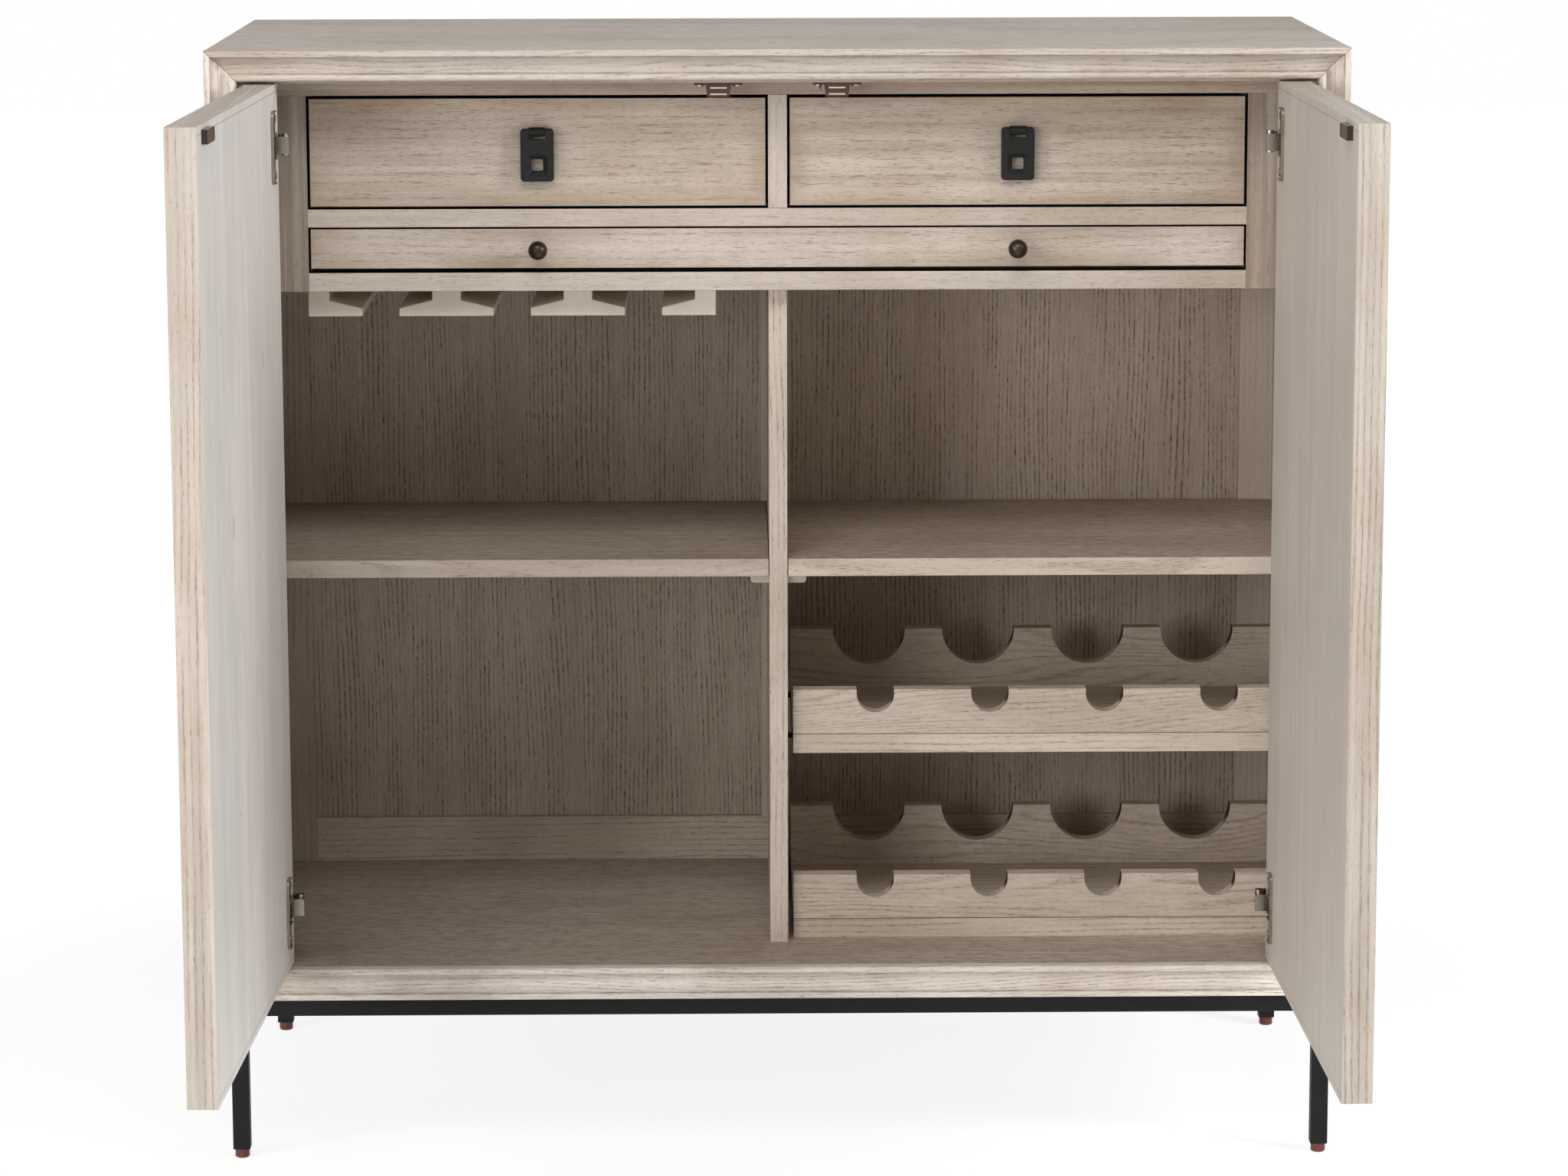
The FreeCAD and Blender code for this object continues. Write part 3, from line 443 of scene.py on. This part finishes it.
def door_faces(name, tone, direction, colour):
    """Each face's own grain, and a smoother wash on the inner one, with a line at each lipping."""
    seams = [corner.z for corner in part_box(name + "_panel")]
    line, fade, strength = 0.3 * MM, 0.8 * MM, 0.55
    cover = 0.9         # how far the inner wash hides the grain

    def change(tree, base):
        ends, _ = oak_layers(tree, name + "_ends", "yx", tone, LINED)
        base = tree.mix(tree.step(tree.level_with(UP), 0.7, 0.9), base, ends)
        broad, _ = oak_layers(tree, name + "_broad", "zy", OAK, BROAD)
        base = tree.mix(tree.step(tree.level_with(RIGHT), 0.6, 0.9), base, broad)
        wash = seamed(tree, inner_wash(tree, colour), seams, line, fade, strength, PORE)
        inner = tree.facing(direction, low=0.6, high=0.9)
        return tree.mix(tree.times(inner, cover), base, wash)

    return change


def rack_front(tree, base):
    """A brown line along a rail's foot, where it stands on its board, and painted shade on its left end, in
    the gap by the partition.
    """
    levels = (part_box("rack_front_rails")[0].z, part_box("rack_boards")[1].z)
    line, fade, strength = 0.8 * MM, 1.6 * MM, 0.75
    base = seamed(tree, base, levels, line, fade, strength, SEAM)
    return shade_gap_sides(LEFT)(tree, base)


def frame_boards(tree, base):
    """Painted light on the fronts of the back's centre and right uprights, and level grain on its rails."""
    low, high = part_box("back_panels")
    show = 6 * MM       # how deep the panels sit in the frame
    half = high.x - show
    middle = middle_of("back_panels", Z)
    painted_light_share = 0.5
    x, _, z = tree.parts
    painted_light_area = tree.times(tree.facing(FRONT), tree.above(x, -half))
    base = tree.mix(tree.times(painted_light_area, painted_light_share), base, PAINTED_LIGHT)
    rails = tree.most(tree.below(z, low.z + show), tree.above(z, high.z - show))
    between = tree.below(tree.math("ABSOLUTE", x), half)
    # Painted light: the lower back rail lighter than the upper
    tone = lit_and_shaded_tones(Z, middle, linear(224, 209, 192), OAK)
    along, _ = oak_layers(tree, "back_rails", "xz", tone, LINED, ((Z, middle),))
    return tree.mix(tree.times(rails, between), base, along)


# Front mouldings
HALF, TOP = cad_box[1].x, cad_box[1].z      # half the case's width, and its top
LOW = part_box("frame_bottom_moulding")[0].z
STRIP, BEAD = 6.6 * MM, 24.4 * MM       # from the case's edge to the two grooves
# Widths of the painted shade along the two grooves
STRIP_SHADE, BEAD_SHADE = 1.2 * MM, 1.8 * MM
MITRE_LINE, MITRE_FADE, MITRE_GLAZE = 0.1 * MM, 1.0 * MM, 0.7


def moulding(name, cut, tone):
    """White wash with painted shade along the grooves, brown glaze at the mitres, and a flame grain."""
    tree = Surface("glaze_" + name)
    base, height = oak_layers(tree, name, cut, tone, FLAMED)
    x, _, z = tree.parts
    from_side = tree.subtract(HALF, tree.math("ABSOLUTE", x))
    from_level = tree.inside(z, LOW, TOP)
    inward = from_level if cut[0] == "x" else from_side
    # Painted shade along the two grooves, uneven in patches
    groove_shade = 0.0
    for edge, width in ((STRIP, STRIP_SHADE), (BEAD, BEAD_SHADE)):
        groove_shade = tree.most(tree.step(tree.apart(inward, edge), 0.0, width, to_low=1.0, to_high=0.0), groove_shade)
    patch = tree.step(tree.patches(scale=38.0, detail=3.0, rough=0.6), 0.3, 0.7, to_low=0.2, to_high=0.7)
    off_mitre = tree.apart(from_level, from_side)
    mitre = tree.step(off_mitre, MITRE_LINE, MITRE_FADE, to_low=MITRE_GLAZE, to_high=0.0)
    base = tree.mix(tree.most(tree.times(groove_shade, patch), mitre), base, GROOVE_SHADE_AND_MITRE)
    values = {"Base Color": base, "Roughness": 0.55, "IOR": OAK_IOR}
    return tree.finish(values, height, bump=0.35, depth=GRAIN_DEPTH)


# Metals, paint and plastic
CLOUD_STEP = (0.3, 0.75)
SMOOTHER, ROUGHER = 0.06, 0.08      # how far the roughness of a metal or paint strays


def coated(name, colour, light, rough, metal=0.0, grain=900.0, bump=0.12, sheen=0.5):
    """Paint, plastic or metal with a fine skin and a little unevenness."""
    tree = Surface(name)
    skin = tree.patches(scale=grain, detail=2.0, rough=0.5)
    cloud = tree.patches(scale=45.0, detail=3.0, rough=0.6)
    uneven = tree.add(skin, tree.times(cloud, 0.6))
    return tree.finish({
        "Base Color": tree.mix(tree.step(cloud, *CLOUD_STEP), colour, light),
        "Roughness": tree.step(uneven, 0.4, 1.1, rough - SMOOTHER, rough + ROUGHER),
        "Metallic": metal, "Specular IOR Level": sheen,
    }, skin, bump, depth=0.15 * MM)


def brushed(name, colour, rough, axis=Z, dark=None):
    """Plated metal with faint marks along one axis. dark returns where painted shade, near black, covers it.
    """
    tree = Surface(name)
    along, across = 60.0, 900.0
    scales = tuple(along if each == axis else across for each in (X, Y, Z))
    marks = tree.stretched(scales, detail=2.0, rough=0.6)
    cloud = tree.patches(scale=60.0, detail=3.0, rough=0.6)
    base = tree.mix(tree.step(cloud, *CLOUD_STEP), darker(colour, share=0.78), colour)
    if dark:
        base = tree.mix(dark(tree), base, GAP_SHADE)
    roughness = tree.step(marks, 0.3, 0.75, to_low=rough - 0.04, to_high=rough + ROUGHER)
    values = {"Base Color": base, "Roughness": roughness, "Metallic": 1.0}
    return tree.finish(values, marks, bump=0.03, depth=0.1 * MM)


def partition_gap_shade(tree):
    """Painted shade on the rack pins beside the partition, in the dark gap there."""
    reach, fade = 25 * MM, 5 * MM
    return tree.step(tree.math("ABSOLUTE", tree.parts[X]), reach, reach + fade, to_low=1.0, to_high=0.0)


def slide_tip_shade(tree):
    """Painted shade on the front ends of the slides, in the dark gaps round the drawers."""
    front = min(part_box(node)[0].y for node in ("slide_rails", "left_drawer_runners", "tray_runners"))
    painted, fade = 40 * MM, 5 * MM
    end = front + painted
    return tree.step(tree.parts[Y], end, end + fade, to_low=1.0, to_high=0.0)


def strike(name):
    """A dark plastic block with a steel plate let into its inner face, near the door's free edge."""
    low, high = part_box(name)
    plate_length, rim = 31.6 * MM, 0.8 * MM
    tree = Surface(name)
    _, y, z = tree.parts
    plate = tree.times(tree.above(tree.level_with(RIGHT), 0.9), tree.below(y, low.y + plate_length))
    plate = tree.times(plate, tree.above(y, low.y + rim))
    plate = tree.times(plate, tree.above(tree.inside(z, low.z, high.z), rim))
    cloud = tree.step(tree.patches(scale=220.0, detail=3.0, rough=0.6), 0.3, 0.7)
    block = tree.mix(cloud, linear(36, 22, 18), linear(52, 32, 25))
    metal = tree.mix(cloud, linear(100, 74, 62), linear(138, 108, 92))
    skin = tree.patches(scale=1500.0, detail=2.0, rough=0.5)
    return tree.finish({
        "Base Color": tree.mix(plate, block, metal), "Metallic": plate,
        "Roughness": tree.step(skin, 0.3, 0.7, to_low=0.28, to_high=0.42),
    }, skin, bump=0.08, depth=0.1 * MM)


# Finishes by node
def use(node, material):
    """Gives a piece its material."""
    target = nodes[node]
    if not target.material_slots:
        target.data.materials.append(material)
    for slot in target.material_slots:
        slot.link = "OBJECT"
        slot.material = material


# Planes between the boards of one node
MIDDLE = ((X, 0.0),)
UPRIGHTS = ((X, -HALF / 2), (X, HALF / 2))
FRONT_RAILS, REAR_RAILS, RACK_SHELVES = (
    ((Z, middle_of(node, Z)),) for node in ("rack_front_rails", "rack_rear_rails", "rack_boards")
)

RAIL = linear(199, 187, 175)
for node, cut, options in (
    ("top_panel", "xy", dict(look=TOPPED, tone=linear(200, 192, 184), rough=0.66)),
    # Painted shade on the floor's top face
    ("floor_panel", "xy", dict(look=SHELVED, tone=linear(198, 186, 174), change=shaded_face(UP, 0.2))),
    # Painted shade on the shelves' tops, and the left shelf darker, as it gets less light
    ("shelves", "xy", dict(look=SHELVED, change=shaded_face(UP, 0.2), zones=MIDDLE,
                           tone=lit_and_shaded_tones(X, 0.0, linear(186, 172, 157), linear(214, 199, 183)))),
    ("catch_rail", "xz", {}),
    # Painted shade on the left side's inner face
    ("left_side_panel", "zy", dict(look=SIDED, change=shaded_face(RIGHT, 0.45), rough=0.62)),
    ("right_side_panel", "zy", dict(look=SIDED, rough=0.62)),
    ("partition", "zx", dict(look=LINED, tone=linear(214, 199, 184))),
    # Painted shade: the top rail darker, under the top's overhang, and near black on its lower side
    ("face_top_rail", "xz", dict(change=shade_gap_sides(DOWN), tone=linear(168, 151, 135))),
    # Painted shade: stiles darker where the doors shade them, the left more, with some brown glaze too
    ("face_stiles", "zx", dict(change=shade_gap_sides(LEFT, RIGHT), zones=MIDDLE,
                               tone=lit_and_shaded_tones(X, 0.0, linear(130, 114, 100), linear(141, 125, 109)))),
    ("face_mullion", "zx", dict(change=shade_gap_sides(LEFT, RIGHT), tone=RAIL)),
    ("face_middle_rail", "xz", dict(change=shade_gap_sides(UP, DOWN), tone=RAIL)),
    ("face_lower_rail", "xz", dict(change=shade_gap_sides(UP), tone=linear(203, 192, 180))),
    ("tray_deck", "xy", {}),
    ("drawer_deck", "xy", {}),
    ("drawer_divider_boards", "yz", {}),
    ("back_frame", "zx", dict(look=LINED, change=frame_boards, zones=UPRIGHTS)),
    ("back_panels", "zx", dict(look=BACKED, zones=MIDDLE)),
    ("shelf_cleats", "yz", dict(look=PLAIN, zones=MIDDLE)),
    ("stemware_rails", "yx", dict(look=PLAIN, tone=linear(238, 226, 210))),
    ("rack_boards", "xz", dict(look=LINED, tone=linear(220, 207, 191), zones=RACK_SHELVES,
                               change=shade_gap_sides(LEFT))),
    ("rack_front_rails", "xz", dict(look=RACKED, tone=linear(208, 194, 178), zones=FRONT_RAILS,
                                    change=rack_front)),
    # Painted light: the lower rear rail lighter, where less light reaches it
    ("rack_rear_rails", "xz", dict(look=RACKED, zones=REAR_RAILS, change=shade_gap_sides(LEFT),
                                   tone=lit_and_shaded_tones(Z, middle_of("rack_rear_rails", Z),
                                                 linear(240, 227, 211), linear(223, 209, 192)))),
    ("tray_front", "xz", dict(look=DRAWN, change=glazed_and_gap_shaded_front("tray_front"),
                              tone=linear(219, 208, 198))),
    ("tray_board", "xy", {}),
    ("tray_lips", "xz", {}),
    ("left_drawer_front", "xz", dict(look=DRAWN, change=glazed_and_gap_shaded_front("left_drawer_front"),
                                     tone=linear(196, 181, 166))),
    ("right_drawer_front", "xz", dict(look=DRAWN, change=glazed_and_gap_shaded_front("right_drawer_front"),
                                      tone=linear(180, 165, 150))),
):
    use(node, oak(node, cut, **options))

DOOR_EDGE = linear(181, 172, 162)
DOOR_END = linear(174, 165, 155)
# Tones of the inner faces are painted light and shade: the left door's lighter, the right door's darker
for side, inward, face in (("left", RIGHT, linear(214, 209, 204)), ("right", LEFT, linear(187, 179, 170))):
    door = side + "_door"
    for piece in ("_panel", "_lippings"):
        faces = door_faces(door, DOOR_END, inward, face)
        use(door + piece, oak(door, "zx", look=EDGED, tone=DOOR_EDGE, change=faces))

# Painted light and shade: the top moulding darker, the bottom one lighter, as the light falls
for node, cut, tone in (
    ("frame_top_moulding", "xz", linear(188, 180, 171)),
    ("frame_bottom_moulding", "xz", linear(244, 236, 227)),
    ("frame_left_moulding", "zx", linear(214, 206, 198)),
    ("frame_right_moulding", "zx", linear(214, 206, 198)),
):
    use(node, moulding(node, cut, tone))

BOX_OAK = linear(216, 198, 170)
for side in ("left", "right"):
    for piece, cut in (("_drawer_sides", "yz"), ("_drawer_bottom", "xy")):
        use(side + piece, oak(side + piece, cut, tone=BOX_OAK))

steel = coated("black_steel", linear(20, 20, 21), linear(27, 27, 27), 0.55, grain=1400.0, sheen=0.2)
brown = coated("glide_brown", linear(92, 42, 30), linear(118, 60, 44), 0.4)
pull = coated("pull_metal", linear(19, 18, 18), linear(26, 25, 24), 0.5, grain=1700.0, sheen=0.25)
knob = coated("knob_metal", linear(52, 42, 36), linear(78, 64, 52), 0.3, metal=0.75, grain=1200.0, bump=0.05)
catch = coated("catch_brown", linear(62, 36, 28), linear(82, 50, 40), 0.42)
nickel = brushed("hinge_nickel", (0.38, 0.335, 0.28, 1.0), 0.24)
screws = brushed("screw_nickel", (0.46, 0.43, 0.38, 1.0), 0.28, dark=partition_gap_shade)
pole = brushed("pole_steel", (0.70, 0.60, 0.47, 1.0), 0.3, axis=X)
slide = brushed("slide_steel", (0.60, 0.60, 0.61, 1.0), 0.32, axis=Y, dark=slide_tip_shade)
for node, material in (
    ("base_frame", steel), ("glides", brown), ("hinge_arms", nickel), ("screws_and_rack_pins", screws),
    ("catch_bodies", catch), ("catch_poles", pole), ("slide_rails", slide), ("tray_runners", slide),
    ("tray_knobs", knob),
):
    use(node, material)
for side in ("left", "right"):
    for piece, material in (
        ("_hinge_leaves", nickel), ("_hinge_pins_and_screws", screws), ("_drawer_runners", slide),
        ("_pull_mount", pull), ("_pull_flap", pull), ("_door_strike", strike(side + "_door_strike")),
    ):
        use(side + piece, material)


# Soft edges
WELD_GAP = 0.01 * MM
SHARP_ANGLE = math.radians(50.0)
FLAT_ANGLE = math.radians(20.0)


def soften(node, width):
    """Rounds a piece's sharp edges by a small width, if any, and keeps its flat faces flat."""
    modifiers = nodes[node].modifiers
    modifiers.new("weld", "WELD").merge_threshold = WELD_GAP
    if width:
        bevel = modifiers.new("bevel", "BEVEL")
        bevel.width = width
        bevel.segments = 2
        bevel.limit_method = "ANGLE"
        bevel.angle_limit = SHARP_ANGLE
        bevel.loop_slide = False
    modifiers.new("split", "EDGE_SPLIT").split_angle = FLAT_ANGLE
    modifiers.new("normals", "WEIGHTED_NORMAL").keep_sharp = True


for width, group in (
    (0.9 * MM, (
        "top_panel", "left_door_panel", "right_door_panel", "left_door_lippings", "right_door_lippings",
        "rack_boards", "stemware_rails", "shelf_cleats",
    )),
    (0.6 * MM, ("floor_panel", "catch_rail", "face_top_rail", "face_mullion", "shelves")),
    (0.0, (
        "partition", "rack_front_rails", "rack_rear_rails", "left_side_panel", "right_side_panel",
        "face_stiles", "drawer_divider_boards", "back_frame", "back_panels", "face_middle_rail",
        "face_lower_rail", "tray_deck", "drawer_deck", "tray_front", "tray_board", "tray_lips",
        "left_drawer_front", "right_drawer_front", "left_drawer_sides", "right_drawer_sides",
        "left_drawer_bottom", "right_drawer_bottom", "frame_top_moulding", "frame_bottom_moulding",
        "frame_left_moulding", "frame_right_moulding",
    )),
):
    for node in group:
        soften(node, width)


# Studio lamps
DAYLIGHT, NEUTRAL, WARM = (0.955, 0.98, 1.0), (1.0, 1.0, 1.0), (1.0, 0.985, 0.96)


def softbox(name, place, target, size, power, colour):
    """A soft rectangular lamp that looks at a target."""
    data = bpy.data.lights.new(name, "AREA")
    data.color = colour
    data.shape = "RECTANGLE"
    data.size, data.size_y = size
    data.energy = power
    lamp = bpy.data.objects.new(name, data)
    lamp.location = place
    lamp.rotation_euler = (Vector(target) - lamp.location).to_track_quat("-Z", "Y").to_euler()
    bpy.context.scene.collection.objects.link(lamp)


softbox("right_softbox", place=(3.5, -1.65, 2.15), target=(-0.3, -0.2, 0.8),
        size=(1.1, 2.2), power=130.0, colour=DAYLIGHT)
softbox("left_softbox", place=(-3.2, -2.3, 1.6), target=(0.3, -0.2, 0.6),
        size=(1.2, 2.2), power=66.0, colour=WARM)
softbox("front_softbox", place=(-2.6, -4.4, 1.3), target=(0.3, 0.0, 0.6),
        size=(1.6, 1.4), power=50.0, colour=NEUTRAL)
softbox("top_softbox", place=(-0.4, -2.7, 3.8), target=(0.0, 0.0, 0.7),
        size=(2.4, 1.6), power=62.0, colour=NEUTRAL)
softbox("back_softbox", place=(0.3, 4.4, 0.7), target=(0.0, 0.3, 0.6),
        size=(2.6, 0.7), power=50.0, colour=NEUTRAL)


# Studio surroundings
FILL_LIGHT = 0.145      # strength of the white surroundings as light on the part
FLOOR_REACH = 14.0
FLOOR_GLOW = 1.16       # strength of the floor's white far from the part
NEAR_GLOW = 0.72        # share of that white beside the part, where its shadow shows
GLOW_FROM, GLOW_TO = 1.0, 2.2


def make_world():
    """White behind the part, and a weak even light on it."""
    tree = Tree(bpy.data.worlds.new("studio"))
    strength = tree.node("ShaderNodeMapRange", {"Value": tree.shown(), "To Min": FILL_LIGHT, "To Max": 1.0})
    sky = tree.node("ShaderNodeBackground", {"Color": WHITE, "Strength": strength})
    bpy.context.scene.world = tree.output("ShaderNodeOutputWorld", sky)


def floor_paper():
    """Pale paper that takes the part's shadow and fades to white away from it."""
    tree = Surface("studio_floor")
    cloud = tree.patches(scale=3.0, detail=2.0, rough=0.5)
    colour = tree.mix(cloud, (0.88, 0.88, 0.88, 1.0), (0.92, 0.92, 0.92, 1.0))
    paper = tree.node("ShaderNodeBsdfDiffuse", {"Color": colour})
    glow = tree.node("ShaderNodeEmission", {"Color": WHITE, "Strength": FLOOR_GLOW})
    distance = tree.node("ShaderNodeVectorMath", (tree.place,), out=1, operation="LENGTH")
    away = tree.step(distance, GLOW_FROM, GLOW_TO, NEAR_GLOW, 1.0)
    blend = tree.node("ShaderNodeMixShader", (tree.times(tree.shown(), away), paper, glow))
    return tree.output("ShaderNodeOutputMaterial", blend)


def make_floor():
    mesh = bpy.data.meshes.new("studio_floor")
    corners = [(x * FLOOR_REACH, y * FLOOR_REACH, 0) for x, y in ((-1, -1), (1, -1), (1, 1), (-1, 1))]
    mesh.from_pydata(corners, [], [(0, 1, 2, 3)])
    mesh.materials.append(floor_paper())
    floor = bpy.data.objects.new("studio_floor", mesh)
    bpy.context.scene.collection.objects.link(floor)


make_world()
make_floor()


# Camera, solved from the corners of the case and the doors in the photograph
LENS_PIXELS = 6206.2
FRAME_WIDTH = 2048.0
SENSOR_WIDTH = 36.0
LENS_SHIFT = -0.03
CLIP_NEAR, CLIP_FAR = 0.1, 60.0
CAMERA_PLACE = (-0.0450, -4.8506, 1.4905)
YAW, PITCH, ROLL = -0.01028, -0.16958, 0.00242


def make_camera():
    data = bpy.data.cameras.new("camera")
    data.sensor_width = SENSOR_WIDTH
    data.lens = LENS_PIXELS * SENSOR_WIDTH / FRAME_WIDTH
    data.shift_y = LENS_SHIFT
    data.clip_start, data.clip_end = CLIP_NEAR, CLIP_FAR
    turn = Matrix.Rotation(YAW, 3, "Z") @ Matrix.Rotation(PITCH, 3, "X") @ Matrix.Rotation(ROLL, 3, "Y")
    right, forward, up = turn.col
    basis = Matrix((right, up, -forward)).transposed()
    camera = bpy.data.objects.new("camera", data)
    camera.matrix_world = Matrix.Translation(CAMERA_PLACE) @ basis.to_4x4()
    bpy.context.scene.collection.objects.link(camera)
    bpy.context.scene.camera = camera


make_camera()
bpy.context.scene.view_settings.view_transform = "Standard"
